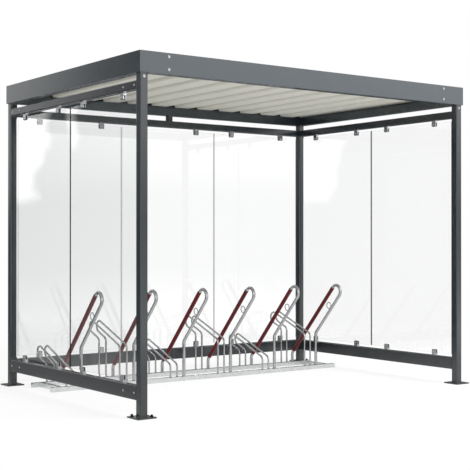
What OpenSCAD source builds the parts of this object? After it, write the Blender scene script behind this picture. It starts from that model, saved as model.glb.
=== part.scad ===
// Open-fronted bike shelter. Four square-tube posts carry a folded roof edge and a ribbed roof sheet.
// Clear panes are clamped between rails on three sides, and a free-standing rack inside holds the bicycles
// by wheel and frame. Origin at ground level under the middle of the roof. X runs along the back wall,
// Y points to the back, Z is up.

/* [Frame] */
// Width over the outer faces of the posts
frame_w = 3190; // [2700:10:3700]
// Depth over the outer faces of the posts
frame_d = 2180; // [1900:10:2600]
// Height from the ground to the underside of the roof edge
eaves_h = 2380; // [2150:10:2600]
// Side of the square post tube
post_size = 60; // [50:5:80]
// Wall of the post and rail tubes
tube_wall = 3; // [2:0.5:4]
// Inner corner radius of the post and rail tubes
tube_corner = 3; // [2:0.5:5]

/* [Base plates] */
// Side of the square base plate
plate_size = 150; // [130:5:200]
// Thickness of the base plate
plate_t = 10; // [6:1:15]
// Diameter of an anchor hole
anchor_d = 14; // [10:1:18]
// Distance of an anchor hole from both plate edges
anchor_edge = 25; // [18:1:28]

/* [Rails] */
// Height of the lower rail's underside above the ground
lower_rail_z = 120; // [80:5:200]
// Height of the lower rail's section
lower_rail_h = 100; // [60:5:140]
// Height of the upper rail's section
upper_rail_h = 60; // [40:5:80]
// Open gap between the upper rail and the roof edge
rail_roof_gap = 50; // [30:5:90]
// Side of the square stub that ties the back rail to the roof edge
stub_size = 50; // [30:2:56]

/* [Roof] */
// Height of the outer face of the roof edge
fascia_h = 150; // [130:5:200]
// Sheet thickness of the folded roof edge
fascia_t = 3; // [2:0.5:4]
// Overhang of the roof edge beyond the posts
roof_overhang = 10; // [5:1:30]
// Height of the roof edge's inner leg, which carries the roof sheet
inner_leg_h = 80; // [60:5:90]
// Width of the seat flange on top of the inner leg
seat_w = 30; // [20:1:40]
// Width of the lip along the top of the roof edge
lip_w = 20; // [12:1:30]
// Gap left between two roof edges at a mitred corner
mitre_gap = 0.4; // [0.2:0.1:1]
// Gap between the roof sheet and the web of the roof edge
sheet_gap = 20; // [10:1:30]
// Thickness of the roof sheet
sheet_t = 1; // [0.8:0.1:2]
// Distance between two ribs of the roof sheet
rib_pitch = 250; // [180:5:300]
// Depth of a rib
rib_h = 38; // [20:1:45]
// Width of a rib at its crown
rib_crown = 58; // [25:1:70]
// Width of a rib at its foot
rib_foot = 100; // [75:1:120]
// Least flat width left beside the outermost ribs
rib_edge = 20; // [10:1:40]

/* [Panes] */
// Thickness of a pane
pane_t = 8; // [6:1:12]
// Number of panes in each side wall
panes_side = 2; // [1:1:3]
// Number of panes in the back wall
panes_back = 3; // [2:1:4]
// Gap between two panes
pane_gap = 10; // [6:1:20]
// Gap between a pane and the posts and rails around it
pane_edge_gap = 25; // [15:1:35]

/* [Clips] */
// Width of a clip along its rail
clip_w = 45; // [35:1:60]
// Height of a clip, from its rail to the end of its jaws
clip_h = 50; // [45:1:70]
// Thickness of a clip's jaw
jaw_t = 5; // [4:0.5:8]
// Chamfer along the end of each jaw
clip_chamfer = 3; // [1:0.5:3.5]
// Thickness of the rubber pad between a clip and its pane
pad_t = 4; // [2:0.5:5]
// Length of pad that shows past the jaws
pad_proud = 1.5; // [0.5:0.5:3]
// Distance of a clip's middle from the side edge of its pane
clip_inset = 200; // [100:5:300]
// Clearance between a pane and its pads
clip_fit = 0.3; // [0.2:0.1:1]

/* [Rack rails] */
// Number of bicycle places
rack_places = 6; // [5:1:7]
// Gap between the ends of the rack and the corner posts
rack_end_gap = 35; // [20:5:80]
// Distance of the rear rail's middle from the inner face of the back posts
rack_rear_gap = 212; // [200:1:300]
// Distance between the middles of the two rails
rack_rail_spacing = 356; // [320:2:400]
// Width of a rack rail
rack_rail_w = 38; // [34:1:60]
// Height of a rack rail
rack_rail_h = 38; // [30:1:60]
// Wall of a rack rail
rack_rail_t = 4; // [3:0.5:6]
// Distance of a cross rail's middle from the end of the rack
rack_cross_inset = 88; // [50:1:120]

/* [Lean bars] */
// Distance of the first lean bar from the left end of the rack
lean_start = 274; // [240:1:320]
// Diameter of the lean bar tube
lean_d = 28; // [24:1:34]
// Height of the lean bar above the ground
lean_h = 820; // [750:2:900]
// Height of the front leg's knee above the ground
lean_knee = 342; // [320:2:400]
// Lean of the bar from level, towards the front
lean_angle = 47.5; // [42:0.5:52]
// Distance between the two arms of the lean bar
lean_gap = 115; // [105:1:140]
// Bend radius of the lean bar's knees
lean_knee_r = 45; // [40:1:70]
// Distance from the rear knee's bend to the sleeve's lower end
sleeve_foot = 18; // [4:1:40]
// Distance from the top bend to the sleeve's upper end
sleeve_top = 8; // [0:1:40]
// Wall of the sleeve
sleeve_wall = 3.5; // [1.5:0.5:4]
// Clearance between the sleeve and its tube
sleeve_fit = 0.3; // [0.2:0.1:0.6]
// Mean diameter of the lock ring
ring_d = 57; // [50:1:70]
// Diameter of the lock ring's rod
ring_rod = 8; // [6:1:10]
// Height of the lock ring's centre above the ground
ring_z = 612; // [560:2:660]
// Depth that the lock ring is let into the arm at its weld
ring_weld = 4; // [3:0.5:5]

/* [Wheel hoops] */
// Distance from a lean bar to the middle of the hoop on its left
hoop_offset = 104; // [95:1:140]
// Diameter of a hoop's rod
hoop_d = 16; // [12:1:20]
// Distance between the two rods of a hoop
hoop_track = 68; // [60:1:80]
// Height of the front knee of a low hoop above the ground
hoop_low = 149; // [135:1:200]
// Height of the front knee of a high hoop above the ground
hoop_high = 340; // [300:2:380]
// Rise of a hoop's arms from level
hoop_angle = 21; // [17:1:25]
// Distance between the two arms of a hoop
hoop_gap = 98; // [90:1:110]
// Reach of a hoop behind the rear rail's middle
hoop_reach = 175; // [150:1:190]
// Bend radius of a hoop's knees
hoop_knee_r = 45; // [30:1:55]

/* [Hidden] */

$fn = 48;

anthracite = "#41474b";
cream = "#d6d4c8";
clear = [0.85, 0.92, 0.93, 0.35];
silver = "#b9bcbe";
galvanised = "#a7abac";
dark_red = "#7a1a22";
rubber = "#26282a";

// Lengths that follow from the sizes above
clear_w = frame_w - 2 * post_size;
clear_d = frame_d - 2 * post_size;
wall_x = frame_w / 2 - post_size / 2;
wall_y = frame_d / 2 - post_size / 2;
upper_rail_z = eaves_h - rail_roof_gap - upper_rail_h;
lower_rail_top = lower_rail_z + lower_rail_h;

roof_w = frame_w + 2 * roof_overhang;
roof_d = frame_d + 2 * roof_overhang;
edge_depth = roof_overhang + post_size;
sheet_w = roof_w - 2 * (fascia_t + sheet_gap);
sheet_d = roof_d - 2 * (fascia_t + sheet_gap);
sheet_z = eaves_h + inner_leg_h;
rib_slope = atan(2 * rib_h / (rib_foot - rib_crown));
rib_reach = floor((sheet_w / 2 - rib_foot / 2 - rib_edge) / rib_pitch);

pane_z = lower_rail_top + pane_edge_gap;
pane_h = upper_rail_z - pane_edge_gap - pane_z;
pane_side_w = (clear_d - 2 * pane_edge_gap - (panes_side - 1) * pane_gap) / panes_side;
pane_back_w = (clear_w - 2 * pane_edge_gap - (panes_back - 1) * pane_gap) / panes_back;
pad_inner = pane_t / 2 + clip_fit;
pad_outer = pad_inner + pad_t;
pad_seat_z = pane_edge_gap - clip_fit - pad_t;

rack_l = clear_w - 2 * rack_end_gap;
rack_pitch = rack_l / rack_places;
rack_rear_y = frame_d / 2 - post_size - rack_rear_gap;
rack_front_y = rack_rear_y - rack_rail_spacing;
sleeve_inner = lean_d + 2 * sleeve_fit;
sleeve_outer = sleeve_inner + 2 * sleeve_wall;

// Middle of a pane along its wall, counted from 1
function pane_middle(i, count, width) = (i - (count + 1) / 2) * (width + pane_gap);

// Growth of a bent bar's radius in its bends, and the length that its straights run into them
bend_swell = 0.1;
bend_bite = 2;

// Place of a lean bar along the rack, counted from 1
function lean_x(i) = lean_start - rack_l / 2 + (i - 1) * rack_pitch;

// Knee height of a hoop: the odd ones stand low and the even ones high, so that handlebars clear each other
function hoop_knee(i) = i % 2 == 0 ? hoop_high : hoop_low;

// Straight lengths of a bar bent like a hairpin, in the plane across the rack: up from the front rail
// to a knee, along one arm to the U-bend, back along the parallel arm to the second knee, and down to
// the rear rail
function hairpin_lengths(knee, angle, arm, gap, knee_r) =
    let (setback = knee_r * tan(abs(angle - 90) / 2))
    let (rear_knee = knee + (rack_rail_spacing * sin(angle) - gap) / cos(angle))
    let (rear_arm = arm - rack_rail_spacing * cos(angle) - (rear_knee - knee) * sin(angle))
    [
        knee - rack_rail_h - setback,
        arm - setback,
        rear_arm - setback,
        rear_knee - rack_rail_h - setback
    ];

// Turns of the same bar: the front knee, the U-bend and the rear knee
function hairpin_turns(angle) = [angle - 90, -180, 90 - angle];

// Length of a lean bar's arm that brings the top of its U-bend to the stated height
lean_lay = 180 - lean_angle;
lean_arm = (lean_h - lean_d / 2 - lean_gap / 2 * (1 + cos(lean_angle)) - lean_knee) / sin(lean_angle);
lean_lengths = hairpin_lengths(lean_knee, lean_lay, lean_arm, lean_gap, lean_knee_r);

// Length of a hoop's arm that brings its U-bend to the stated reach behind the rear rail
hoop_run = rack_rail_spacing + hoop_reach - hoop_d / 2 - hoop_gap / 2 * (1 + sin(hoop_angle));
hoop_arm = hoop_run / cos(hoop_angle);

// Rounded rectangle centred on the origin
module rounded_rect(w, h, r) {
    square([w - 2 * r, h], center = true);
    square([w, h - 2 * r], center = true);
    for (x = [-1, 1], y = [-1, 1])
        translate([x * (w / 2 - r), y * (h / 2 - r)])
            circle(r);
}

// Square or rectangular tube along Z, closed by a plate as thick as its wall at each end
module closed_tube(w, h, length) {
    difference() {
        linear_extrude(length)
            rounded_rect(w, h, tube_corner + tube_wall);
        translate([0, 0, tube_wall])
            linear_extrude(length - 2 * tube_wall)
                rounded_rect(w - 2 * tube_wall, h - 2 * tube_wall, tube_corner);
    }
}

// Post with its welded base plate, drilled for two anchors on one diagonal
module post(side_x, side_y) {
    hole_at = plate_size / 2 - anchor_edge;
    color(anthracite)
    translate([side_x * wall_x, side_y * wall_y, 0]) {
        difference() {
            translate([-plate_size / 2, -plate_size / 2, 0])
                cube([plate_size, plate_size, plate_t]);
            for (s = [-1, 1])
                translate([s * side_x * hole_at, -s * side_y * hole_at, -1])
                    cylinder(h = plate_t + 2, d = anchor_d);
        }
        translate([0, 0, plate_t])
            closed_tube(post_size, post_size, eaves_h - plate_t);
    }
}

module post_front_left() { post(-1, -1); }
module post_front_right() { post(1, -1); }
module post_back_left() { post(-1, 1); }
module post_back_right() { post(1, 1); }

// Section of the folded roof edge: an outer web with a top lip, a floor over the posts, and an inner leg
// whose seat flange carries the roof sheet. The channel between web and leg is the gutter.
module roof_edge_section() {
    polygon([
        [0, 0],
        [edge_depth, 0],
        [edge_depth, inner_leg_h],
        [edge_depth - seat_w, inner_leg_h],
        [edge_depth - seat_w, inner_leg_h - fascia_t],
        [edge_depth - fascia_t, inner_leg_h - fascia_t],
        [edge_depth - fascia_t, fascia_t],
        [fascia_t, fascia_t],
        [fascia_t, fascia_h - fascia_t],
        [lip_w, fascia_h - fascia_t],
        [lip_w, fascia_h],
        [0, fascia_h]
    ]);
}

// Roof edge along X with its outer face on the X axis, mitred at both ends
module roof_edge(length) {
    half = length / 2 - mitre_gap / sqrt(2);
    color(anthracite)
    intersection() {
        translate([-length / 2, 0, 0])
            rotate([90, 0, 90])
                linear_extrude(length)
                    roof_edge_section();
        linear_extrude(fascia_h)
            polygon([
                [-half, 0], [half, 0],
                [half - edge_depth, edge_depth], [edge_depth - half, edge_depth]
            ]);
    }
}

module roof_edge_front() { translate([0, -roof_d / 2, eaves_h]) roof_edge(roof_w); }
module roof_edge_back() { translate([0, roof_d / 2, eaves_h]) rotate(180) roof_edge(roof_w); }
module roof_edge_left() { translate([-roof_w / 2, 0, eaves_h]) rotate(-90) roof_edge(roof_d); }
module roof_edge_right() { translate([roof_w / 2, 0, eaves_h]) rotate(90) roof_edge(roof_d); }

// One face of the ribbed sheet, from left to right: lift and spread move the upper face off the lower one
function sheet_face(lift, spread) = concat(
    [[-sheet_w / 2, lift]],
    [
        for (i = [-rib_reach:rib_reach])
            each [
                [i * rib_pitch - rib_foot / 2 - spread, lift],
                [i * rib_pitch - rib_crown / 2 - spread, rib_h - sheet_t + lift],
                [i * rib_pitch + rib_crown / 2 + spread, rib_h - sheet_t + lift],
                [i * rib_pitch + rib_foot / 2 + spread, lift]
            ]
    ],
    [[sheet_w / 2, lift]]
);

function reversed(list) = [for (i = [len(list) - 1:-1:0]) list[i]];

// Ribbed roof sheet, its broad flats down on the seat flanges and its ribs running from front to back
module roof_sheet() {
    upper_face = sheet_face(sheet_t, sheet_t * tan(rib_slope / 2));
    color(cream)
    translate([0, sheet_d / 2, sheet_z])
        rotate([90, 0, 0])
            linear_extrude(sheet_d)
                polygon(concat(sheet_face(0, 0), reversed(upper_face)));
}

// Rail along X between two posts, centred on the origin in plan
module rail(length, height) {
    color(anthracite)
    translate([-length / 2, 0, height / 2])
        rotate([0, 90, 0])
            closed_tube(height, post_size, length);
}

module upper_rail_left() { translate([-wall_x, 0, upper_rail_z]) rotate(90) rail(clear_d, upper_rail_h); }
module upper_rail_back() { translate([0, wall_y, upper_rail_z]) rail(clear_w, upper_rail_h); }
module upper_rail_right() { translate([wall_x, 0, upper_rail_z]) rotate(90) rail(clear_d, upper_rail_h); }
module lower_rail_left() { translate([-wall_x, 0, lower_rail_z]) rotate(90) rail(clear_d, lower_rail_h); }
module lower_rail_back() { translate([0, wall_y, lower_rail_z]) rail(clear_w, lower_rail_h); }
module lower_rail_right() { translate([wall_x, 0, lower_rail_z]) rotate(90) rail(clear_d, lower_rail_h); }

// Short tube that carries the middle of the long back roof edge on the upper rail
module back_stub() {
    color(anthracite)
    translate([0, wall_y, upper_rail_z + upper_rail_h])
        closed_tube(stub_size, stub_size, rail_roof_gap);
}

// Pane along X, centred on the origin in plan
module pane(width) {
    color(clear)
    translate([-width / 2, -pane_t / 2, pane_z])
        cube([width, pane_t, pane_h]);
}

module side_pane(i) {
    translate([0, pane_middle(i, panes_side, pane_side_w), 0])
        rotate(90)
            pane(pane_side_w);
}

module left_pane(i) { translate([-wall_x, 0, 0]) side_pane(i); }
module right_pane(i) { translate([wall_x, 0, 0]) side_pane(i); }
module back_pane(i) { translate([pane_middle(i, panes_back, pane_back_w), wall_y, 0]) pane(pane_back_w); }

// Extrudes a section drawn across a pane over the width of a clip, with the clip's middle over the origin
module clip_length() {
    translate([-clip_w / 2, 0, 0])
        rotate([90, 0, 90])
            linear_extrude(clip_w)
                children();
}

// Clip standing on a rail: a foot with two jaws that hold the padded edge of a pane
module clip() {
    half = pad_outer + jaw_t;
    clip_length()
        polygon([
            [-half, 0], [half, 0],
            [half, clip_h - clip_chamfer], [half - clip_chamfer, clip_h],
            [pad_outer, clip_h], [pad_outer, pad_seat_z],
            [-pad_outer, pad_seat_z], [-pad_outer, clip_h],
            [clip_chamfer - half, clip_h], [-half, clip_h - clip_chamfer]
        ]);
}

// Pad between the jaws of a clip, folded round the edge of the pane
module pad() {
    pad_top = clip_h + pad_proud;
    clip_length()
        polygon([
            [-pad_outer, pad_seat_z], [pad_outer, pad_seat_z],
            [pad_outer, pad_top], [pad_inner, pad_top],
            [pad_inner, pad_seat_z + pad_t], [-pad_inner, pad_seat_z + pad_t],
            [-pad_inner, pad_top], [-pad_outer, pad_top]
        ]);
}

// Sets its children at the clips of one wall along X: two under and two over every pane
module clip_row(count, width) {
    for (i = [1:count], s = [-1, 1])
        translate([pane_middle(i, count, width) + s * (width / 2 - clip_inset), 0, 0]) {
            translate([0, 0, lower_rail_top])
                children();
            translate([0, 0, upper_rail_z])
                rotate([180, 0, 0])
                    children();
        }
}

module left_clip_row() { translate([-wall_x, 0, 0]) rotate(90) clip_row(panes_side, pane_side_w) children(); }
module back_clip_row() { translate([0, wall_y, 0]) clip_row(panes_back, pane_back_w) children(); }
module right_clip_row() { translate([wall_x, 0, 0]) rotate(90) clip_row(panes_side, pane_side_w) children(); }

module clips_left() { color(silver) left_clip_row() clip(); }
module clips_back() { color(silver) back_clip_row() clip(); }
module clips_right() { color(silver) right_clip_row() clip(); }

// Pads of all three walls
module clip_pads() {
    color(rubber) {
        left_clip_row() pad();
        back_clip_row() pad();
        right_clip_row() pad();
    }
}

// Channel along X, open below, centred on the origin in plan and standing on the ground
module rack_channel(length) {
    half = rack_rail_w / 2;
    inner = half - rack_rail_t;
    color(galvanised)
    translate([-length / 2, 0, 0])
        rotate([90, 0, 90])
            linear_extrude(length)
                polygon([
                    [-half, 0], [-inner, 0],
                    [-inner, rack_rail_h - rack_rail_t], [inner, rack_rail_h - rack_rail_t],
                    [inner, 0], [half, 0],
                    [half, rack_rail_h], [-half, rack_rail_h]
                ]);
}

module rack_cross(side) {
    translate([side * (rack_l / 2 - rack_cross_inset), (rack_front_y + rack_rear_y) / 2, 0])
        rotate(90)
            rack_channel(rack_rail_spacing - rack_rail_w);
}

module rack_rail_front() { translate([0, rack_front_y, 0]) rack_channel(rack_l); }
module rack_rail_rear() { translate([0, rack_rear_y, 0]) rack_channel(rack_l); }
module rack_cross_left() { rack_cross(-1); }
module rack_cross_right() { rack_cross(1); }

// Round bar that starts along X: each straight length is followed by a turn of its own radius, with left
// turns positive. A bend swells a little over the bar, as a bent tube does, and the straights run into it.
module bent_bar(lengths, turns, radii, d, i = 0) {
    lead = i > 0 ? bend_bite : 0;
    tail = i < len(turns) ? bend_bite : 0;
    translate([-lead, 0, 0])
        rotate([0, 90, 0])
            cylinder(h = lead + lengths[i] + tail, d = d);
    if (i < len(turns)) {
        side = sign(turns[i]);
        translate([lengths[i], side * radii[i], 0]) {
            rotate(min(turns[i], 0) - side * 90)
                rotate_extrude(angle = abs(turns[i]))
                    translate([radii[i], 0])
                        circle(d = d + 2 * bend_swell);
            rotate(turns[i])
                translate([0, -side * radii[i], 0])
                    bent_bar(lengths, turns, radii, d, i + 1);
        }
    }
}

// Hairpin bar standing on the front rail, drawn in the XY plane with X to the back and Y up
module hairpin(lengths, angle, gap, knee_r, d) {
    translate([rack_front_y, rack_rail_h, 0])
        rotate(90)
            bent_bar(lengths, hairpin_turns(angle), [knee_r, gap / 2, knee_r], d);
}

// Sets a shape drawn in the XY plane upright across the rack: X becomes Y and Y becomes Z
module across_rack(x) {
    translate([x, 0, 0])
        rotate([90, 0, 90])
            children();
}

// Lean bar: one hairpin tube with a lock ring welded inside its front arm
module lean_bar(i) {
    weld_gap = lean_d / 2 + ring_rod / 2 + ring_d / 2 - ring_weld;
    arm_y = rack_front_y - (ring_z - weld_gap * cos(lean_angle) - lean_knee) / tan(lean_angle);
    color(galvanised)
    across_rack(lean_x(i)) {
        hairpin(lean_lengths, lean_lay, lean_gap, lean_knee_r, lean_d);
        translate([arm_y + weld_gap * sin(lean_angle), ring_z, 0])
            rotate_extrude()
                translate([ring_d / 2, 0])
                    circle(d = ring_rod);
    }
}

// Bar of diameter d along the sleeved stretch of a lean bar's rear arm, longer by spare at both ends
module sleeved_stretch(d, spare) {
    setback = lean_knee_r * tan((90 - lean_angle) / 2);
    length = lean_lengths[2] - sleeve_foot - sleeve_top;
    translate([rack_rear_y, rack_rail_h + lean_lengths[3] + setback, 0])
        rotate(180 - lean_angle)
            translate([setback + sleeve_foot - spare, 0, 0])
                rotate([0, 90, 0])
                    cylinder(h = length + 2 * spare, d = d);
}

// Sleeves drawn over the rear arms, from just above the rear knee to just below the top bend
module lean_sleeves() {
    color(dark_red)
    for (i = [1:rack_places])
        across_rack(lean_x(i))
            difference() {
                sleeved_stretch(sleeve_outer, 0);
                sleeved_stretch(sleeve_inner, 1);
            }
}

// Wheel hoop: two rods bent alike, with the tyre's track between them
module wheel_hoop(i) {
    lengths = hairpin_lengths(hoop_knee(i), hoop_angle, hoop_arm, hoop_gap, hoop_knee_r);
    color(galvanised)
    for (s = [-1, 1])
        across_rack(lean_x(i) - hoop_offset + s * hoop_track / 2)
            hairpin(lengths, hoop_angle, hoop_gap, hoop_knee_r, hoop_d);
}

post_front_left();
post_front_right();
post_back_left();
post_back_right();
roof_edge_front();
roof_edge_back();
roof_edge_left();
roof_edge_right();
roof_sheet();
upper_rail_left();
upper_rail_back();
upper_rail_right();
lower_rail_left();
lower_rail_back();
lower_rail_right();
back_stub();
for (i = [1:panes_side])
    left_pane(i);
for (i = [1:panes_back])
    back_pane(i);
for (i = [1:panes_side])
    right_pane(i);
clips_left();
clips_back();
clips_right();
clip_pads();
rack_rail_front();
rack_rail_rear();
rack_cross_left();
rack_cross_right();
for (i = [1:rack_places])
    lean_bar(i);
lean_sleeves();
for (i = [1:rack_places])
    wheel_hoop(i);
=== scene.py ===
"""Looks of an open-fronted bike shelter with its rack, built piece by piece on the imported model."""

import bmesh
import bpy
import numpy as np
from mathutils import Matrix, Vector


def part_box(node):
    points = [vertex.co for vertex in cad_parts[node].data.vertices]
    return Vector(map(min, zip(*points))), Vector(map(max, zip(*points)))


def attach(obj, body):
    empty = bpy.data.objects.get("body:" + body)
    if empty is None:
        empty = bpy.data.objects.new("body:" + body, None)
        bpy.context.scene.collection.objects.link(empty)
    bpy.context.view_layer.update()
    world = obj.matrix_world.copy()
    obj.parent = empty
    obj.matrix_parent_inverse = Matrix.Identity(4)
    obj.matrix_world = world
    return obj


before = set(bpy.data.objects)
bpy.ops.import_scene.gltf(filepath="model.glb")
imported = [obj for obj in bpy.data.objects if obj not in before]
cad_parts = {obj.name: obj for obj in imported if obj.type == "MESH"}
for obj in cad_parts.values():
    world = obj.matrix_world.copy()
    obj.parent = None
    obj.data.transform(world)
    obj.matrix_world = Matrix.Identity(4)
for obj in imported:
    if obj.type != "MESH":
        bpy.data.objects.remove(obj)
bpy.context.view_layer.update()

# Corner posts: 60 mm square steel tubes on 10 mm base plates, powder coated in anthracite grey
# after welding. The coat has a fine orange peel and a slow mottling of tone, and it gathers dust
# near the foot.
anthracite = (0.021, 0.028, 0.033, 1)
post_roughness = 0.20
post_specular = 0.72
polish_play = 0.015
peel_depth = 0.00003
dust_tone = (0.20, 0.19, 0.17, 1)
dust_height = 0.30
dust_share = 0.16
post_nodes = ["post_front_left", "post_front_right", "post_back_left", "post_back_right"]
post_spots = np.array([np.mean(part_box(name), 0) for name in post_nodes])
post_sides = np.sign(post_spots[:, :2])


def new_finish(name, **constants):
    """Material with one Principled shader, whose constants are set on the shader's own sockets."""
    finish = bpy.data.materials.new(name)
    finish.use_nodes = True
    shader = finish.node_tree.nodes["Principled BSDF"]
    for socket, value in constants.items():
        shader.inputs[socket.replace("_", " ")].default_value = value
    return finish


def put(finish, kind, inputs, **options):
    """Adds one shader node. Options are its settings, and inputs are numbers or the sockets that
    feed it."""
    made = finish.node_tree.nodes.new("ShaderNode" + kind)
    for option, value in options.items():
        setattr(made, option, value)
    for socket, value in inputs.items():
        if isinstance(value, bpy.types.NodeSocket):
            finish.node_tree.links.new(value, made.inputs[socket])
        else:
            made.inputs[socket].default_value = value
    return made


def feed(finish, **sockets):
    """Links sockets to the inputs of the Principled shader."""
    shader = finish.node_tree.nodes["Principled BSDF"]
    for name, source in sockets.items():
        finish.node_tree.links.new(source, shader.inputs[name.replace("_", " ")])


def object_place(finish, stretch=(1, 1, 1)):
    """Object coordinates in metres, stretched along each axis."""
    spot = put(finish, "TexCoord", {}).outputs["Object"]
    return put(finish, "Mapping", {"Vector": spot, "Scale": stretch}).outputs[0]


def parts(finish, vector):
    """The three parts of a vector."""
    return put(finish, "SeparateXYZ", {0: vector}).outputs


def mottle(finish, scale, detail=3.0, stretch=(1, 1, 1)):
    """Noise from 0 to 1, with scale lumps in a metre."""
    inputs = {"Vector": object_place(finish, stretch), "Scale": scale, "Detail": detail}
    return put(finish, "TexNoise", inputs).outputs[0]


def spread(finish, value, start, end, low, high):
    """Maps a value that runs from start to end onto low to high, and holds it there."""
    inputs = {"Value": value, "From Min": start, "From Max": end, "To Min": low, "To Max": high}
    return put(finish, "MapRange", inputs).outputs[0]


def varied(finish, noise, low, high):
    """Maps noise, most of which lies between 0.3 and 0.7, onto low to high."""
    return spread(finish, noise, 0.3, 0.7, low, high)


def reckon(finish, operation, *values):
    """Result of one operation on numbers."""
    return put(finish, "Math", dict(enumerate(values)), operation=operation).outputs[0]


def times(finish, a, b):
    """Product of two numbers."""
    return reckon(finish, "MULTIPLY", a, b)


def mixed(finish, share, first, second):
    """Colour between first and second by share."""
    return put(finish, "Mix", {0: share, 6: first, 7: second}, data_type="RGBA").outputs[2]


def shade_of(colour, factor):
    """The same colour, lighter or darker."""
    return tuple(min(c * factor, 1.0) for c in colour[:3]) + (1,)


def bumped(finish, height, depth, strength=1.0):
    """Normal of a surface raised by height times depth in metres."""
    inputs = {"Height": height, "Distance": depth, "Strength": strength}
    return put(finish, "Bump", inputs).outputs[0]


def powder_coat(name, colour, roughness, specular, tint=(1, 1, 1, 1)):
    """Coat over steel: tone from slow noise, dust from height above the foot, orange peel from
    fine noise."""
    coat = new_finish(name, Specular_IOR_Level=specular, Specular_Tint=tint)
    slow = mixed(coat, mottle(coat, 1.7), shade_of(colour, 0.93), shade_of(colour, 1.07))
    grain = spread(coat, mottle(coat, 260, 2), 0.35, 0.65, 0.0, 0.35)
    tone = mixed(coat, grain, slow, shade_of(colour, 1.12))
    height = parts(coat, object_place(coat))[2]
    low = spread(coat, height, 0.0, dust_height, dust_share, 0.0)
    dust = times(coat, low, mottle(coat, 14, 5))
    feed(
        coat,
        Base_Color=mixed(coat, dust, tone, dust_tone),
        Roughness=varied(coat, mottle(coat, 9), roughness - polish_play, roughness + polish_play),
        Normal=bumped(coat, mottle(coat, 420, 1), peel_depth, 0.6),
    )
    return coat


def dress(finish, names):
    """Puts a finish on every material slot of the named CAD nodes."""
    for name in names:
        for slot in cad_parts[name].material_slots:
            slot.material = finish


post_coat = powder_coat("anthracite_coat", anthracite, post_roughness, post_specular)
dress(post_coat, post_nodes)

# Welds at the post feet: a rippled fillet of weld metal all round each tube where it stands on its
# plate, coated with the post. The arc is struck in short steps, which leaves a ripple about every
# 4 mm.
post_half = 0.030
post_corner = 0.006
plate_top = 0.010
weld_leg = 0.0045
weld_step = 0.0042
weld_ripple = 0.10
weld_wander = 0.05
wander_pace = 1.7
weld_root = 0.15
crease = np.radians(40)


def rounded_square(half, radius, arc_steps, edge_steps):
    """Outline of a square with round corners and its outward normals: a quarter circle round each
    corner centre, then evenly spaced points along the straight edge to the next corner."""
    turn = np.arange(4)[:, None] * np.pi / 2 + np.linspace(0, np.pi / 2, arc_steps + 1)
    normal = np.stack([np.cos(turn), np.sin(turn)], -1)
    corner = (half - radius) * np.array([[1, 1], [-1, 1], [-1, -1], [1, -1]])
    arc = corner[:, None] + radius * normal
    share = np.linspace(0, 1, edge_steps + 2)[1:-1, None]
    edge = arc[:, -1:] * (1 - share) + np.roll(arc, -1, 0)[:, :1] * share
    edge_normal = np.broadcast_to(normal[:, -1:], edge.shape)
    points = np.concatenate([arc, edge], 1).reshape(-1, 2)
    return points, np.concatenate([normal, edge_normal], 1).reshape(-1, 2)


def fillet_weld(path, outward, leg):
    """Weld along a closed path on a level plane: a quarter circle carried round the path, its
    radius the leg with a sine ripple along the way, closed through a point inside the corner."""
    way = np.linalg.norm(np.roll(path, -1, 0) - path, axis=1).cumsum() / weld_step
    ripple = weld_ripple * np.sin(2 * np.pi * way) + weld_wander * np.sin(way * wander_pace)
    size = leg * (1 + ripple)
    angle = np.linspace(0, np.pi / 2, 7)
    out = np.append(np.sin(angle), -weld_root) * size[:, None]
    rise = np.append(np.cos(angle), -weld_root) * size[:, None]
    flat = path[:, None] + outward[:, None] * out[..., None]
    return np.concatenate([flat, rise[..., None]], -1)


def piece_from_grids(name, grids, finish):
    """One mesh from grids of points (copies, rows, columns, 3): every cell is a quad, both
    directions wrap round where the grid says so, and doubled points at poles are merged."""
    points, quads, start = [], [], 0
    for grid, rows_close, columns_close in grids:
        copies, rows, columns = grid.shape[:3]
        index = np.arange(rows * columns).reshape(rows, columns)
        index = np.vstack([index, index[:1]]) if rows_close else index
        index = np.hstack([index, index[:, :1]]) if columns_close else index
        corners = [index[:-1, :-1], index[:-1, 1:], index[1:, 1:], index[1:, :-1]]
        cell = np.stack(corners, -1).reshape(-1, 4)
        shift = start + np.arange(copies)[:, None, None] * rows * columns
        quads.append((cell + shift).reshape(-1, 4))
        points.append(grid.reshape(-1, 3))
        start += grid.size // 3
    mesh = bpy.data.meshes.new(name)
    mesh.from_pydata(np.concatenate(points).tolist(), [], np.concatenate(quads).tolist())
    shell = bmesh.new()
    shell.from_mesh(mesh)
    bmesh.ops.remove_doubles(shell, verts=shell.verts, dist=1e-6)
    bmesh.ops.recalc_face_normals(shell, faces=shell.faces)
    shell.to_mesh(mesh)
    shell.free()
    mesh.shade_smooth()
    mesh.set_sharp_from_angle(angle=crease)
    mesh.materials.append(finish)
    piece = bpy.data.objects.new(name, mesh)
    bpy.context.scene.collection.objects.link(piece)
    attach(piece, "root")


foot_path, foot_normal = rounded_square(post_half, post_corner, arc_steps=8, edge_steps=44)
foot_weld = fillet_weld(foot_path, foot_normal, weld_leg)
post_feet = np.column_stack([post_spots[:, :2], np.full(len(post_spots), plate_top)])
foot_welds = post_feet[:, None, None] + foot_weld
piece_from_grids("post_welds", [(foot_welds, True, True)], post_coat)

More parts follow.
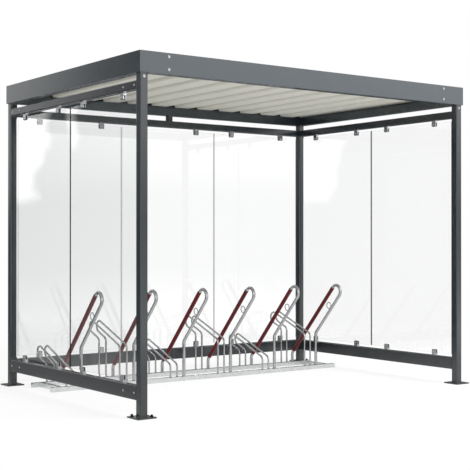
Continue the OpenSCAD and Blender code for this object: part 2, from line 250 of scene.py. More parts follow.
# Anchor bolts: threaded studs that come up through two holes of a base plate, on one diagonal, with
# a washer and a hexagon nut. Two of the four plates have them. They are blackened steel, a little
# rubbed.
anchored = [post_nodes.index("post_front_left"), post_nodes.index("post_back_right")]
anchor_inset = 0.050
anchor_r = 0.006
thread_pitch = 0.00175
thread_depth = 0.0009
thread_rows = 6
stud_low = -0.009
stud_top = 0.0275
stud_end = 1.3
washer_r = 0.014
washer_t = 0.0025
washer_bevel = 0.2
nut_flats = 0.019
nut_h = 0.0108
nut_round = 0.485
nut_chamfer = 0.14
black_steel = (0.016, 0.016, 0.017, 1)
rubbed_steel = (0.075, 0.074, 0.072, 1)
up = np.array([0.0, 0.0, 1.0])


def around(columns):
    """Angles of the columns of a turned piece."""
    return np.linspace(0, 2 * np.pi, columns, endpoint=False)


def hexagon(angle, flats):
    """Radius of a hexagon at an angle: half the width over flats, over the cosine of the angle off
    a flat."""
    return flats / 2 / np.cos((angle + np.pi / 6) % (np.pi / 3) - np.pi / 6)


def turned(radius, height, spots, axes):
    """Surface about an axis: each row of radius, with a value for each column, is carried round the
    axis at the row's height along it, and every spot gets a copy about its own axis."""
    radius = np.asarray(radius, float)
    angle = around(radius.shape[1])
    axes = np.broadcast_to(np.asarray(axes, float), spots.shape)
    helper = np.where(np.abs(axes[:, 2:]) > 0.5, [1.0, 0.0, 0.0], [0.0, 0.0, 1.0])
    side = np.cross(helper, axes)
    side /= np.linalg.norm(side, axis=1, keepdims=True)
    third = np.cross(axes, side)
    ring = np.cos(angle)[:, None] * side[:, None] + np.sin(angle)[:, None] * third[:, None]
    rows = radius[None, ..., None] * ring[:, None]
    lift = np.asarray(height)[None, :, None, None] * axes[:, None, None]
    return spots[:, None, None] + rows + lift


def rings(values, columns):
    """Rows of equal radius."""
    return np.repeat(np.asarray(values, float)[:, None], columns, 1)


def washer(hole, radius, thick, columns=32):
    """Flat ring with a small bevel on both outer edges, as rows of radius and height."""
    bevel = thick * washer_bevel
    radii = [hole, radius - bevel, radius, radius, radius - bevel, hole]
    return rings(radii, columns), [0, 0, bevel, thick - bevel, thick, thick]


def nut(hole, flats, high, columns=24):
    """Hexagon with its corners chamfered to a circle at both ends, as rows of radius and height."""
    hexed = hexagon(around(columns), flats)
    end = np.full(columns, flats * nut_round)
    bore = np.full(columns, hole)
    lean = high * nut_chamfer
    rows = np.array([bore, end, hexed, hexed, end, bore])
    return rows, [0, 0, lean, high - lean, high, high]


def stud(radius, pitch, depth, low, top, columns=24):
    """Threaded bar: the radius falls by a triangle wave of height over pitch less the turn, and the
    end is chamfered to a flat. Rows of radius and height."""
    height = np.linspace(low, top - depth, int((top - low) / pitch * thread_rows))
    wave = np.abs(((height[:, None] / pitch - around(columns) / (2 * np.pi)) % 1) * 2 - 1)
    thread = radius - depth * wave
    ends = rings([radius - stud_end * depth, 0], columns)
    return np.vstack([rings([0], columns), thread, ends]), [low, *height, top, top]


anchor_offset = np.array([[1, -1], [-1, 1]]) * anchor_inset
anchor_turn = post_sides[anchored, None] * anchor_offset
anchor_xy = (post_spots[anchored, None, :2] + anchor_turn).reshape(-1, 2)
anchor_spots = np.column_stack([anchor_xy, np.full(len(anchor_xy), plate_top)])
anchor_washer = washer(anchor_r, washer_r, washer_t)
anchor_nut = nut(anchor_r - thread_depth, nut_flats, nut_h)
anchor_stud = stud(anchor_r, thread_pitch, thread_depth, stud_low, stud_top - plate_top)
blackened = new_finish("blackened_steel", Metallic=0.55, Specular_IOR_Level=0.4)
rub = spread(blackened, mottle(blackened, 160, 4), 0.55, 0.75, 0.0, 0.5)
feed(
    blackened,
    Base_Color=mixed(blackened, rub, black_steel, rubbed_steel),
    Roughness=varied(blackened, mottle(blackened, 90), 0.38, 0.55),
    Normal=bumped(blackened, mottle(blackened, 900, 2), 0.0001, 0.5),
)
piece_from_grids(
    "anchor_bolts",
    [
        (turned(*anchor_washer, anchor_spots, up), True, True),
        (turned(*anchor_nut, anchor_spots + up * washer_t, up), True, True),
        (turned(*anchor_stud, anchor_spots, up), False, True),
    ],
    blackened,
)

# Rails: square and rectangular steel tubes between the posts, coated like them, and a short stub
# that ties the back rail to the roof edge. They carry the panes and brace the frame.
levels = ("upper", "lower")
walls = ("left", "back", "right")
rail_nodes = [level + "_rail_" + wall for level in levels for wall in walls]
dress(post_coat, rail_nodes + ["back_stub"])

# Rail bolts: stainless button heads with a hexagon socket, two at each end of every rail, turned
# into the spigots on the posts from outside. Inside, dark plastic plugs close the access holes
# opposite them.
rail_bolt_r = 0.0070
rail_bolt_h = 0.0044
rail_socket = 0.005
rail_bolt_ways = np.array([0.025, 0.175])
head_sink = 0.0004
head_rim = 0.14
dome_start = 0.05
dome_share = 0.66
socket_taper = 0.94
socket_floor = 0.42
socket_point = 0.36
plug_r = 0.0062
plug_h = 0.0016
plug_round = 0.6
bright_steel = (0.62, 0.62, 0.62, 1)
rubber_black = (0.010, 0.010, 0.011, 1)
plug_light = (0.018, 0.018, 0.019, 1)


def button_head(radius, high, socket, columns=24):
    """Domed screw head: a short rim, a quarter ellipse up to a flat, and a hexagon socket sunk into
    it. Rows of radius and height."""
    rise = np.linspace(dome_start, 1.0, 7) * np.pi / 2 * dome_share
    rim = high * head_rim
    dome_r = radius * np.cos(rise)
    dome_h = rim + (high - rim) * np.sin(rise) / np.sin(rise[-1])
    hexed = hexagon(around(columns), socket)
    outside = rings([0, radius, radius, *dome_r], columns)
    rows = np.vstack([outside, hexed, hexed * socket_taper, np.zeros(columns)])
    inside = [high, high * socket_floor, high * socket_point]
    return rows, [-head_sink, -head_sink, rim, *dome_h, *inside]


def plug(radius, high, columns=24):
    """Flat cap with a rounded rim, as rows of radius and height."""
    turn = np.linspace(0, np.pi / 2, 4)
    curve = high * plug_round
    radii = [0, radius, *(radius - curve * (1 - np.cos(turn))), 0]
    rim = high - curve * (1 - np.sin(turn))
    return rings(radii, columns), [-head_sink, -head_sink, *rim, high]


def stainless_finish(name, colour, low, high, brush):
    """Bare stainless steel: tone and roughness from noise drawn out along the brushing."""
    steel = new_finish(name, Metallic=1.0)
    line = mottle(steel, 60, 3, brush)
    feed(
        steel,
        Base_Color=mixed(steel, line, shade_of(colour, 0.88), shade_of(colour, 1.08)),
        Roughness=varied(steel, line, low, high),
        Normal=bumped(steel, mottle(steel, 240, 2, brush), 0.00005, 0.4),
    )
    return steel


def dark_finish(name, specular, lumps, dark, light, rub_lumps, low, high):
    """Black plastic, rubber or foam: tone between dark and light from noise, roughness from other
    noise."""
    black = new_finish(name, Specular_IOR_Level=specular)
    feed(
        black,
        Base_Color=mixed(black, mottle(black, lumps), dark, light),
        Roughness=varied(black, mottle(black, rub_lumps), low, high),
    )
    return black


bolt_steel = stainless_finish("bolt_steel", bright_steel, 0.22, 0.36, (1, 1, 1))
bolt_spots, bolt_axes = [], []
for name in rail_nodes:
    low, high = map(np.array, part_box(name))
    run = int(np.argmax(high - low))
    face = 1 - run
    outward = np.sign((low + high)[face])
    ends = np.concatenate([low[run] + rail_bolt_ways, high[run] - rail_bolt_ways])
    spots = np.tile((low + high) / 2, (len(ends), 1))
    spots[:, run] = ends
    spots[:, face] = high[face] if outward > 0 else low[face]
    bolt_spots.append(spots)
    bolt_axes.append(np.tile(np.eye(3)[face] * outward, (len(ends), 1)))
rail_bolt_spots, rail_bolt_axes = np.concatenate(bolt_spots), np.concatenate(bolt_axes)
rail_head = button_head(rail_bolt_r, rail_bolt_h, rail_socket)
rail_heads = turned(*rail_head, rail_bolt_spots, rail_bolt_axes)
piece_from_grids("rail_bolts", [(rail_heads, False, True)], bolt_steel)

plug_plastic = dark_finish("plug_plastic", 0.35, 120, rubber_black, plug_light, 300, 0.45, 0.6)
plug_spots = rail_bolt_spots - 2 * post_half * rail_bolt_axes
plug_caps = turned(*plug(plug_r, plug_h), plug_spots, -rail_bolt_axes)
piece_from_grids("rail_plugs", [(plug_caps, False, True)], plug_plastic)

# Roof edge: folded steel sheet, mitred at the corners, coated in the frame's colour in a smoother
# coat than the tubes. Its web is the fascia, and the channel behind it drains the roof.
fascia_grey = (0.020, 0.029, 0.038, 1)
fascia_tint = (0.95, 0.985, 1.0, 1)
fascia_roughness = 0.18
fascia_specular = 0.85
roof_edges = ["roof_edge_front", "roof_edge_back", "roof_edge_left", "roof_edge_right"]
fascia_coat = powder_coat(
    "fascia_coat", fascia_grey, fascia_roughness, fascia_specular, fascia_tint)
dress(fascia_coat, roof_edges)

# Fascia and post bolts: stainless button heads on washers. Two stand one above the other near each
# end of the long fascias, with nuts behind the web, and one holds each post's head plate to the
# roof edge.
fascia_bolt_r = 0.0088
fascia_bolt_h = 0.0050
fascia_socket = 0.006
fascia_washer_hole = 0.003
fascia_washer_r = 0.0105
fascia_washer_t = 0.0016
fascia_way = 0.236
fascia_drops = np.array([0.026, 0.116])
fascia_t = 0.003
web_nut_hole = 0.004
web_nut_flats = 0.015
web_nut_h = 0.007
post_bolt_drop = 0.026
edge_low, edge_high = map(np.array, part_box("roof_edge_front"))
roof_depth = -edge_low[1]
bolt_x = np.array([edge_low[0] + fascia_way, edge_high[0] - fascia_way])
bolt_z = edge_high[2] - fascia_drops
front_grid = np.stack(np.meshgrid(bolt_x, [edge_low[1]], bolt_z), -1).reshape(-1, 3)
head_y = post_spots[0, 1] - post_half
head_z = edge_low[2] - post_bolt_drop
post_heads = np.column_stack([post_spots[:2, 0], np.full(2, head_y), np.full(2, head_z)])
front_bolts = np.vstack([front_grid, post_heads])
forward = np.array([0.0, -1.0, 0.0])
mirror_y = np.array([1, -1, 1])
long_bolts = np.vstack([front_bolts, front_bolts * mirror_y])
long_axes = np.repeat([forward, -forward], len(front_bolts), 0)
web_bolts = np.vstack([front_grid, front_grid * mirror_y])
web_axes = np.repeat([-forward, forward], len(front_grid), 0)
fascia_washer = washer(fascia_washer_hole, fascia_washer_r, fascia_washer_t)
fascia_head = button_head(fascia_bolt_r, fascia_bolt_h, fascia_socket)
web_nut = nut(web_nut_hole, web_nut_flats, web_nut_h)
piece_from_grids(
    "roof_bolts",
    [
        (turned(*fascia_washer, long_bolts, long_axes), True, True),
        (turned(*fascia_head, long_bolts + long_axes * fascia_washer_t, long_axes), False, True),
        (turned(*web_nut, web_bolts + web_axes * fascia_t, web_axes), True, True),
    ],
    bolt_steel,
)

# Roof sheet: ribbed steel sheet with a grey-white coil coating, laid with its broad flats on the
# seats of the roof edge. Rain leaves faint streaks along the ribs on top. Below, painted shade
# darkens the inside of each rib, more the higher it lies.
cream = (0.88, 0.86, 0.78, 1)
streak_stretch = (3.0, 0.25, 1.0)
# Painted shade inside the ribs below: heights above the sheet's foot where it starts and is full, its
# share, and its tone.
rib_shade_low = 0.004
rib_shade_high = 0.026
rib_shade_share = 0.8
rib_shade_tone = 0.66
sheet_low, sheet_high = map(np.array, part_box("roof_sheet"))
sheet_coat = new_finish("sheet_coat", Specular_IOR_Level=0.35)
streak = mottle(sheet_coat, 9, 4, streak_stretch)
streaked = mixed(sheet_coat, streak, shade_of(cream, 0.94), shade_of(cream, 1.05))
speck = spread(sheet_coat, mottle(sheet_coat, 400, 2), 0.55, 0.75, 0.0, 0.12)
sheet_tone = mixed(sheet_coat, speck, streaked, shade_of(cream, 0.72))
rib_height = parts(sheet_coat, object_place(sheet_coat))[2]
sheet_normal = put(sheet_coat, "NewGeometry", {}).outputs["True Normal"]
under = reckon(sheet_coat, "LESS_THAN", parts(sheet_coat, sheet_normal)[2], 0.0)
# Painted shade: faces that look down are darkened inside each rib, more the higher they lie, standing
# in for the shade in the rib hollows.
rib_shade_start, rib_shade_end = float(sheet_low[2]) + rib_shade_low, float(sheet_low[2]) + rib_shade_high
rib_shade_ramp = spread(sheet_coat, rib_height, rib_shade_start, rib_shade_end, 0.0, rib_shade_share)
painted_rib_shade = times(sheet_coat, under, rib_shade_ramp)
feed(
    sheet_coat,
    Base_Color=mixed(sheet_coat, painted_rib_shade, sheet_tone, shade_of(cream, rib_shade_tone)),
    Roughness=varied(sheet_coat, streak, 0.44, 0.58),
    Normal=bumped(sheet_coat, mottle(sheet_coat, 500, 1), 0.00004, 0.5),
)
dress(sheet_coat, ["roof_sheet"])

# Roof screws: self-drilling screws with a domed head and a flange on a sealing washer, driven
# through the flats of the sheet into the seats of the roof edge, one in every flat at the front and
# back.
rib_pitch = 0.250
seat_inset = 0.055
sheet_t = 0.001
screw_hole = 0.002
seal_r = 0.0080
seal_t = 0.0022
flange_r = 0.0066
flange_t = 0.0012
screw_r = 0.0048
screw_h = 0.0055
screw_socket = 0.0024
flat_count = int((sheet_high[0] - sheet_low[0]) // rib_pitch)
flat_x = (np.arange(flat_count) - (flat_count - 1) / 2) * rib_pitch
seat_y = np.array([-1, 1]) * (roof_depth - seat_inset)
sheet_top = sheet_low[2] + sheet_t
screw_spots = np.stack(np.meshgrid(flat_x, seat_y, [sheet_top]), -1).reshape(-1, 3)
flange_spots = screw_spots + up * seal_t
screw_head = button_head(screw_r, screw_h, screw_socket)
piece_from_grids(
    "roof_screws",
    [
        (turned(*washer(screw_hole, seal_r, seal_t), screw_spots, up), True, True),
        (turned(*washer(screw_hole, flange_r, flange_t), flange_spots, up), True, True),
        (turned(*screw_head, flange_spots + up * flange_t, up), False, True),
    ],
    bolt_steel,
)

# Rib fillers: black foam blocks on the seats at the front and back, which close the ends of the
# ribs against birds and rain. Each is cut to the inside of a rib, a little smaller so that it
# slides in.
rib_foot = 0.100
rib_crown = 0.058
rib_rise = 0.037
filler_play = 0.0010
filler_bevel = 0.003
filler_slant = 0.57
filler_lift = 0.0004
filler_inset = 0.068
filler_depth = 0.024
foam_dark = (0.008, 0.008, 0.009, 1)
rubber_light = (0.022, 0.022, 0.023, 1)


def filler_block(low, high, rise, play, bevel):
    """Outline of a trapezoid across the rib, its width falling in a straight line with height, with
    both upper corners cut off: points of width and height."""
    base, top, crest = low / 2 - play, high / 2 - play, rise - play
    shoulder = [top + bevel * filler_slant, crest - bevel]
    right = np.array([[base, 0.0], shoulder, [top - bevel, crest]])
    return np.vstack([right, right[::-1] * [-1, 1]]) + [0, filler_lift]


def capped_prism(outline, middle, start, length):
    """Closed prism: an outline of width and height stands at start and again a length further on,
    and a fan from a point at the middle height closes each end. Points of way, width and height."""
    centre = np.broadcast_to([0, middle], outline.shape)
    rows = np.stack([centre, outline, outline, centre])
    way = start + np.array([0, 0, length, length])
    return np.concatenate([np.broadcast_to(way[:, None, None], rows.shape[:2] + (1,)), rows], -1)


filler_outline = filler_block(rib_foot, rib_crown, rib_rise, filler_play, filler_bevel)
filler_start = roof_depth - filler_inset
filler = capped_prism(filler_outline, rib_rise / 2, filler_start, filler_depth)[..., [1, 0, 2]]
rib_x = np.append(flat_x - rib_pitch / 2, flat_x[-1] + rib_pitch / 2)
rib_spots = np.stack(np.meshgrid(rib_x, [0.0], [sheet_low[2]]), -1).reshape(-1, 3)
filler_back = rib_spots[:, None, None] + filler
filler_foam = dark_finish("filler_foam", 0.2, 350, foam_dark, rubber_light, 200, 0.8, 0.95)
feed(filler_foam, Normal=bumped(filler_foam, mottle(filler_foam, 500), 0.0006, 0.7))
piece_from_grids(
    "rib_fillers",
    [(filler_back, False, True), (filler_back * mirror_y, False, True)],
    filler_foam,
)

# Panes: 8 mm clear toughened glass with ground edges, which look dark because light leaves them
# sideways. The faces are clear, with a trace of green in the body and a faint film from rain. At
# the joint of a side wall the ground edge runs a little way onto the faces.
edge_dark = (0.006, 0.009, 0.009, 1)
film_tone = (0.988, 0.992, 0.991, 1)
clear_tone = (0.996, 0.999, 0.999, 1)
passing_tone = (0.96, 0.967, 0.966, 1)
edge_roughness = 0.25
face_limit = 0.7
ground_way = 0.0016


def light_path(finish):
    """What kind of ray looks at the surface."""
    return put(finish, "LightPath", {}).outputs


def blend(finish, share, first, second):
    """Shader between first and second by share."""
    return put(finish, "MixShader", {0: share, 1: first, 2: second}).outputs[0]


def show(finish, shader, output="Material Output"):
    """Makes a shader the whole surface."""
    tree = finish.node_tree
    tree.links.new(shader, tree.nodes[output].inputs["Surface"])


def pane_glass(name, wall_axis, joint_half):
    """Glass whose faces across the wall are clear and whose edges are dark: the share of face comes
    from the normal's part along the wall's axis, and from the way along the wall to a joint at its
    middle. Lamps and bounced light pass straight through."""
    glass = new_finish(name, IOR=1.47, Specular_IOR_Level=0.5)
    normal = put(glass, "NewGeometry", {}).outputs["True Normal"]
    across = reckon(glass, "ABSOLUTE", parts(glass, normal)[wall_axis])
    flat = reckon(glass, "GREATER_THAN", across, face_limit)
    from_joint = reckon(glass, "ABSOLUTE", parts(glass, object_place(glass))[1 - wall_axis])
    face = times(glass, flat, reckon(glass, "GREATER_THAN", from_joint, joint_half))
    clear = mixed(glass, mottle(glass, 2.2, 5), film_tone, clear_tone)
    feed(
        glass,
        Base_Color=mixed(glass, face, edge_dark, clear),
        Transmission_Weight=face,
        Roughness=spread(glass, face, 0.0, 1.0, edge_roughness, 0.0),
    )
    ground_edge = put(glass, "BsdfDiffuse", {"Color": edge_dark}).outputs[0]
    through = put(glass, "BsdfTransparent", {"Color": passing_tone}).outputs[0]
    path = light_path(glass)
    passing = reckon(glass, "MAXIMUM", path["Is Shadow Ray"], path["Is Diffuse Ray"])
    body = glass.node_tree.nodes["Principled BSDF"].outputs[0]
    whole = blend(glass, face, ground_edge, body)
    show(glass, blend(glass, times(glass, passing, face), whole, through))
    return glass


pane_names = [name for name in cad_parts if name.startswith("pane_")]
back_panes = [name for name in pane_names if "back" in name]
side_panes = [name for name in pane_names if name not in back_panes]
joint_half = min(abs(y) for name in side_panes for y in np.array(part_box(name))[:, 1])
dress(pane_glass("side_glass", 0, joint_half + ground_way), side_panes)
dress(pane_glass("back_glass", 1, 0.0), back_panes)

# Clips: polished stainless clamps screwed to the rails, whose two jaws grip the pane through rubber
# pads. A socket screw through the jaws closes each one.
clip_grey = (0.44, 0.45, 0.46, 1)
clip_brush = (1, 1, 0.05)
clip_screw_r = 0.0050
clip_screw_h = 0.0030
clip_socket = 0.004
clip_screw_way = 0.034
clip_inset = 0.200
clip_half = 0.0133
clip_steel = stainless_finish("clip_steel", clip_grey, 0.16, 0.28, clip_brush)
dress(clip_steel, ["clips_" + wall for wall in walls])
pad_rubber = dark_finish("pad_rubber", 0.3, 70, rubber_black, rubber_light, 200, 0.65, 0.85)
feed(pad_rubber, Normal=bumped(pad_rubber, mottle(pad_rubber, 900, 1), 0.0001, 0.5))
dress(pad_rubber, ["clip_pads"])

lower_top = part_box("lower_rail_back")[1][2]
upper_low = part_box("upper_rail_back")[0][2]
clip_levels = [lower_top + clip_screw_way, upper_low - clip_screw_way]
clip_spots, clip_axes = [], []
for name in pane_names:
    low, high = map(np.array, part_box(name))
    run = int(np.argmax((high - low)[:2]))
    face = np.eye(3)[1 - run]
    spots = np.tile((low + high) / 2, (4, 1))
    spots[:, run] = np.repeat([low[run] + clip_inset, high[run] - clip_inset], 2)
    spots[:, 2] = np.tile(clip_levels, 2)
    clip_spots += [spots + face * clip_half, spots - face * clip_half]
    clip_axes += [np.tile(face, (4, 1)), np.tile(-face, (4, 1))]
clip_head = button_head(clip_screw_r, clip_screw_h, clip_socket)
clip_heads = turned(*clip_head, np.concatenate(clip_spots), np.concatenate(clip_axes))
piece_from_grids("clip_screws", [(clip_heads, False, True)], bolt_steel)

# Rack: two channel rails with cross rails at the ends, lean bars and wheel hoops of bent tube, all
# welded and then dipped in zinc, which freezes in dull crystals of differing grey.
zinc_pale = (0.70, 0.71, 0.715, 1)
zinc_grey = (0.43, 0.44, 0.44, 1)
crystals = 95.0


def zinc_finish(name, colour, low, high, ripple):
    """Zinc skin: every crystal is one cell of a Voronoi pattern with its own tone and roughness,
    under slow clouds of dull oxide."""
    skin = new_finish(name, Metallic=1.0)
    cells = put(skin, "TexVoronoi", {"Vector": object_place(skin), "Scale": crystals})
    flake = put(skin, "SeparateColor", {0: cells.outputs["Color"]}).outputs[0]
    tone = mixed(skin, flake, shade_of(colour, 0.94), shade_of(colour, 1.05))
    dull = spread(skin, mottle(skin, 22, 4), 0.45, 0.7, 0.0, 0.4)
    feed(
        skin,
        Base_Color=mixed(skin, dull, tone, shade_of(colour, 0.80)),
        Roughness=spread(skin, flake, 0.0, 1.0, low, high),
        Normal=bumped(skin, mottle(skin, 130, 3), ripple, 0.4),
    )
    return skin


zinc_rail = zinc_finish("zinc_rail", zinc_pale, 0.20, 0.32, 0.0001)
zinc_tube = zinc_finish("zinc_tube", zinc_grey, 0.11, 0.19, 0.00004)
rack_rails = ["rack_rail_front", "rack_rail_rear"]
lean_bars = [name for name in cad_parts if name.startswith("lean_bar_")]
wheel_hoops = [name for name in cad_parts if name.startswith("wheel_hoop_")]
dress(zinc_rail, rack_rails + ["rack_cross_left", "rack_cross_right"])
dress(zinc_tube, lean_bars + wheel_hoops)

# Rail ends: a small plate welded into each end of both channels, just inside the mouth, and dipped
# with the rack, so that the rails don't gather dirt.
end_half = 0.0152
end_rise = 0.0342
end_thick = 0.003
end_setback = 0.0006
end_lift = 0.0004
mirror_x = np.array([-1, 1, 1])
end_outline = np.array([[1, 0], [1, 1], [-1, 1], [-1, 0]]) * [end_half, end_rise]
end_plate = capped_prism(end_outline, end_rise / 2, end_setback, end_thick)
rail_boxes = np.array([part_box(name) for name in rack_rails])
rail_rows = rail_boxes[..., 1].mean(1)
end_spots = np.column_stack([rail_boxes[:, 0, 0], rail_rows, rail_boxes[:, 0, 2] + end_lift])
left_ends = end_spots[:, None, None] + end_plate
piece_from_grids(
    "rail_ends",
    [(left_ends, False, True), (left_ends * mirror_x, False, True)],
    zinc_rail,
)

# Rack welds: a fillet round the foot of every lean bar leg and hoop rod where it stands on a rail.
# The weld metal is dark: partly the dull zinc on welds, partly painted shadow at the feet.
weld_zinc_and_shade = (0.10, 0.10, 0.102, 1)
lean_r = 0.014
lean_leg = 0.0038
hoop_r = 0.008
hoop_leg = 0.00304
rail_top = rail_boxes[0, 1, 2]


def round_path(radius, steps):
    """Circle and its outward normals."""
    angle = around(steps)
    normal = np.stack([np.cos(angle), np.sin(angle)], -1)
    return radius * normal, normal


def feet(columns_x):
    """Points where bars at these places along the rack stand on the two rails."""
    spots = np.stack(np.meshgrid(columns_x, rail_rows, [rail_top]), -1).reshape(-1, 3)
    return spots[:, None, None]


lean_x = np.array([np.mean(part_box(name), 0)[0] for name in lean_bars])
hoop_sides = np.array([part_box(name) for name in wheel_hoops])[..., 0]
hoop_x = np.concatenate([hoop_sides[:, 0] + hoop_r, hoop_sides[:, 1] - hoop_r])
lean_weld = fillet_weld(*round_path(lean_r, 64), lean_leg)
hoop_weld = fillet_weld(*round_path(hoop_r, 40), hoop_leg)
# Painted shadow: the dark weld tone also stands in for the shade where each foot meets the rail.
shaded_weld_zinc = zinc_finish("shaded_weld_zinc", weld_zinc_and_shade, 0.42, 0.58, 0.0001)
piece_from_grids(
    "rack_welds",
    [(feet(lean_x) + lean_weld, True, True), (feet(hoop_x) + hoop_weld, True, True)],
    shaded_weld_zinc,
)

# Sleeves: dark red soft plastic tubes drawn over the rear arms of the lean bars, so that what leans
# there isn't scratched. The surface is smooth and a little scuffed.
sleeve_red = (0.150, 0.011, 0.016, 1)
scuffed_red = (0.22, 0.045, 0.048, 1)
sleeve_plastic = new_finish("sleeve_plastic", Specular_IOR_Level=0.25)
scuff = spread(sleeve_plastic, mottle(sleeve_plastic, 55, 6), 0.58, 0.75, 0.0, 0.35)
cloud = mottle(sleeve_plastic, 6)
clouded = mixed(sleeve_plastic, cloud, shade_of(sleeve_red, 0.88), shade_of(sleeve_red, 1.12))
feed(
    sleeve_plastic,
    Base_Color=mixed(sleeve_plastic, scuff, clouded, scuffed_red),
    Roughness=varied(sleeve_plastic, mottle(sleeve_plastic, 40, 4), 0.34, 0.5),
    Normal=bumped(sleeve_plastic, mottle(sleeve_plastic, 500, 1), 0.00003, 0.5),
)
dress(sleeve_plastic, ["lean_sleeves"])

# Floor: plain white studio floor. What looks at it sees near white with the shelter's shadow on it,
# fading with distance into the white surround, and its bounced light is that of a pale floor. In
# reflections it turns grey to the left of the shelter and behind it.
floor_half = 6.5
fade_start = 3.6
fade_end = 6.0
floor_glow = 0.82
mirror_glow = 0.28
grey_left = (-2.2, -1.6)
grey_back = (1.1, 1.5)
white = (1, 1, 1, 1)
floor_pale = (0.94, 0.94, 0.93, 1)
floor_shade = (0.24, 0.24, 0.24, 1)
floor_grid = np.array([[[-1, -1, 0], [1, -1, 0]], [[-1, 1, 0], [1, 1, 0]]], float) * floor_half
floor_mesh = bpy.data.meshes.new("floor")
floor_mesh.from_pydata(floor_grid.reshape(-1, 3).tolist(), [], [(0, 1, 3, 2)])
floor = bpy.data.objects.new("floor", floor_mesh)
bpy.context.scene.collection.objects.link(floor)


def seen_share(finish):
    """1 for rays that see a thing, straight, by reflection or through glass, and 0 for light."""
    path = light_path(finish)
    first = reckon(finish, "MAXIMUM", path["Is Camera Ray"], path["Is Glossy Ray"])
    return reckon(finish, "MAXIMUM", first, path["Is Transmission Ray"])


def mirrored_share(finish):
    """1 for rays that have been reflected at least once, and 0 for the rest."""
    return reckon(finish, "GREATER_THAN", light_path(finish)["Glossy Depth"], 0.5)


floor_white = new_finish("floor_white")
floor_spot = parts(floor_white, object_place(floor_white))
left_glow = spread(floor_white, floor_spot[0], *grey_left, mirror_glow, floor_glow)
back_glow = spread(floor_white, floor_spot[1], *grey_back, floor_glow, mirror_glow)
greyed = reckon(floor_white, "MINIMUM", left_glow, back_glow)
strength = spread(floor_white, mirrored_share(floor_white), 0.0, 1.0, floor_glow, greyed)
shadowed = put(floor_white, "BsdfDiffuse", {"Color": floor_shade}).outputs[0]
glow = put(floor_white, "Emission", {"Color": white, "Strength": strength}).outputs[0]
near = put(floor_white, "AddShader", {0: shadowed, 1: glow}).outputs[0]
plain = put(floor_white, "Emission", {"Color": white, "Strength": 1.0}).outputs[0]
beyond = put(floor_white, "BsdfTransparent", {"Color": white}).outputs[0]
far = blend(floor_white, light_path(floor_white)["Is Glossy Ray"], plain, beyond)
floor_place = object_place(floor_white)
distance = put(floor_white, "VectorMath", {0: floor_place}, operation="LENGTH").outputs["Value"]
fade = spread(floor_white, distance, fade_start, fade_end, 0.0, 1.0)
pale = put(floor_white, "BsdfDiffuse", {"Color": floor_pale}).outputs[0]
shown = blend(floor_white, fade, near, far)
show(floor_white, blend(floor_white, seen_share(floor_white), pale, shown))
floor_mesh.materials.append(floor_white)

# Light: an even pale surround, white to the eye, and one broad soft lamp from the front right. What
# mirrors it sees a dark bank at the back, with a ragged edge and a gap to the left, over a low dark
# border all round. Bearings are angles about the vertical, and heights are those of a unit ray.
ambient_strength = 0.55
fleck_scale = 26.0
fleck_dark = (0.05, 0.056, 0.06, 1)
fleck_light = (0.11, 0.117, 0.12, 1)
left_bearings = np.radians([25.4, 78])
wide_bearings = np.radians([38.0, 40.8])
slim_bearings = np.radians([27.2, 27.6])
back_bearings = np.radians([-120, -18])
border_bearings = np.radians([-80, 85])
ahead_bearings = np.radians([-175, -110])
patch_bearings = np.radians([-165, -120])
bank_top = (0.27, 0.31)
bank_lean = (0.045, 0.145, 0.0, -0.022)
wide_lean = (0.036, 0.093, 0.0, -0.013)
wide_foot = (0.032, 0.040)
slim_foot = (0.078, 0.092)
border_top = (0.030, 0.042)
ahead_heights = (-0.06, 0.075)
ahead_share = 0.93
paling_reach = (0.0, 0.2)
paling_heights = (-0.060, 0.010, 0.06, 0.0)
patch_top = (0.20, 0.35)
patch_strength = 0.9
sky_strength = (0.20, 0.50, 1.5, 0.9)
lamp_spot = np.array([4.4, -7.4, 6.2])
lamp_aim = np.array([0, 0, 1.3])
lamp_size = 5.6
lamp_power = 660
world = bpy.data.worlds.new("studio")
bpy.context.scene.world = world
world.use_nodes = True
way = put(world, "TexCoord", {}).outputs["Generated"]
east, north, height = parts(world, way)
bearing = reckon(world, "ARCTAN2", times(world, east, -1.0), north)
fleck = put(world, "TexNoise", {"Vector": way, "Scale": fleck_scale, "Detail": 5.0}).outputs[0]
ragged = varied(world, fleck, -0.006, 0.006)


def plus(finish, a, b):
    """Sum of two numbers."""
    return reckon(finish, "ADD", a, b)


def rest_of(finish, share):
    """What a share leaves of 1."""
    return reckon(finish, "SUBTRACT", 1.0, share)


def band(finish, value, ends, blur):
    """1 between two ends, and 0 outside, over a blurred edge."""
    rise = spread(finish, value, ends[0] - blur, ends[0] + blur, 0.0, 1.0)
    fall = spread(finish, value, ends[1] - blur, ends[1] + blur, 1.0, 0.0)
    return times(finish, rise, fall)


ragged_bearing = plus(world, bearing, ragged)
ragged_height = plus(world, height, ragged)
leaning = plus(world, ragged_bearing, spread(world, height, *bank_lean))
left_bank = band(world, leaning, left_bearings, 0.004)
aslant = plus(world, plus(world, bearing, spread(world, height, *wide_lean)), ragged)
wide_gap = times(
    world, band(world, aslant, wide_bearings, 0.004), spread(world, height, *wide_foot, 0.0, 1.0))
slim_gap = times(
    world,
    band(world, ragged_bearing, slim_bearings, 0.003),
    spread(world, height, *slim_foot, 0.0, 1.0),
)
open_bank = times(world, left_bank, rest_of(world, plus(world, wide_gap, slim_gap)))
banks = reckon(world, "MAXIMUM", open_bank, band(world, bearing, back_bearings, 0.06))
low_banks = times(world, banks, spread(world, ragged_height, *bank_top, 1.0, 0.0))
border = times(
    world,
    spread(world, ragged_height, *border_top, 1.0, 0.0),
    band(world, bearing, border_bearings, 0.06),
)
ahead = times(
    world, band(world, bearing, ahead_bearings, 0.05), band(world, height, ahead_heights, 0.035))
around_it = reckon(world, "MAXIMUM", low_banks, border)
all_round = reckon(world, "MAXIMUM", around_it, times(world, ahead, ahead_share))
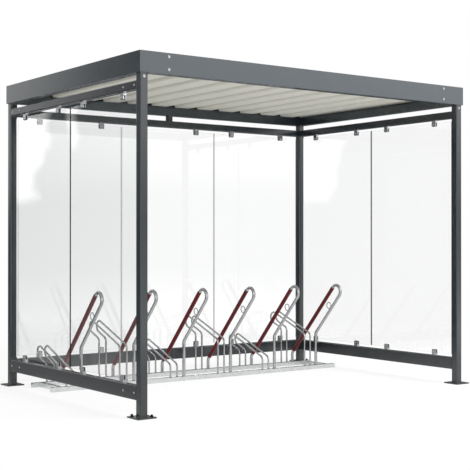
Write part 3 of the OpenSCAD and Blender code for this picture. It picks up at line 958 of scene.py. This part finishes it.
left_side = spread(world, bearing, *paling_reach, 0.0, 1.0)
paling = times(world, left_side, spread(world, height, *paling_heights))
dark = times(world, all_round, rest_of(world, paling))
bank_tone = mixed(world, fleck, fleck_dark, fleck_light)
patch = times(
    world,
    band(world, bearing, patch_bearings, 0.05),
    spread(world, height, *patch_top, 1.0, 0.0),
)
bright = plus(world, spread(world, height, *sky_strength), times(world, patch, patch_strength))
mirrored_tone = mixed(world, dark, white, bank_tone)
mirrored = put(world, "Background", {"Color": mirrored_tone, "Strength": bright}).outputs[0]
open_sky = put(world, "Background", {"Color": white, "Strength": 1.0}).outputs[0]
ambient = world.node_tree.nodes["Background"]
ambient.inputs["Color"].default_value = white
ambient.inputs["Strength"].default_value = ambient_strength
looked_at = blend(world, mirrored_share(world), open_sky, mirrored)
surround = blend(world, seen_share(world), ambient.outputs[0], looked_at)
show(world, surround, "World Output")

lamp = bpy.data.lights.new("key_lamp", "AREA")
lamp.size = lamp_size
lamp.energy = lamp_power
lamp_holder = bpy.data.objects.new("key_lamp", lamp)
bpy.context.scene.collection.objects.link(lamp_holder)
gaze = lamp_aim - lamp_spot
lamp_pitch = np.arctan2(np.hypot(gaze[0], gaze[1]), -gaze[2])
lamp_holder.location = lamp_spot
lamp_holder.rotation_euler = (lamp_pitch, 0, np.arctan2(gaze[1], gaze[0]) - np.pi / 2)
lamp_holder.visible_glossy = False

# Camera: at eye level to the front left, with a long lens, as in the photograph. Its place, turn
# and lens were fitted to the edges of the posts, roof and rails.
view_spot = (-5.459, -7.554, 1.226)
view_yaw = 0.6250
view_pitch = 0.0046
view_lens = 83.86
film_width = 36.0
camera_data = bpy.data.cameras.new("camera")
camera_data.sensor_width = film_width
camera_data.lens = view_lens
camera = bpy.data.objects.new("camera", camera_data)
camera.location = view_spot
camera.rotation_euler = (np.pi / 2 + view_pitch, 0, -view_yaw)
bpy.context.scene.collection.objects.link(camera)
bpy.context.scene.camera = camera
bpy.context.scene.view_settings.view_transform = "Standard"
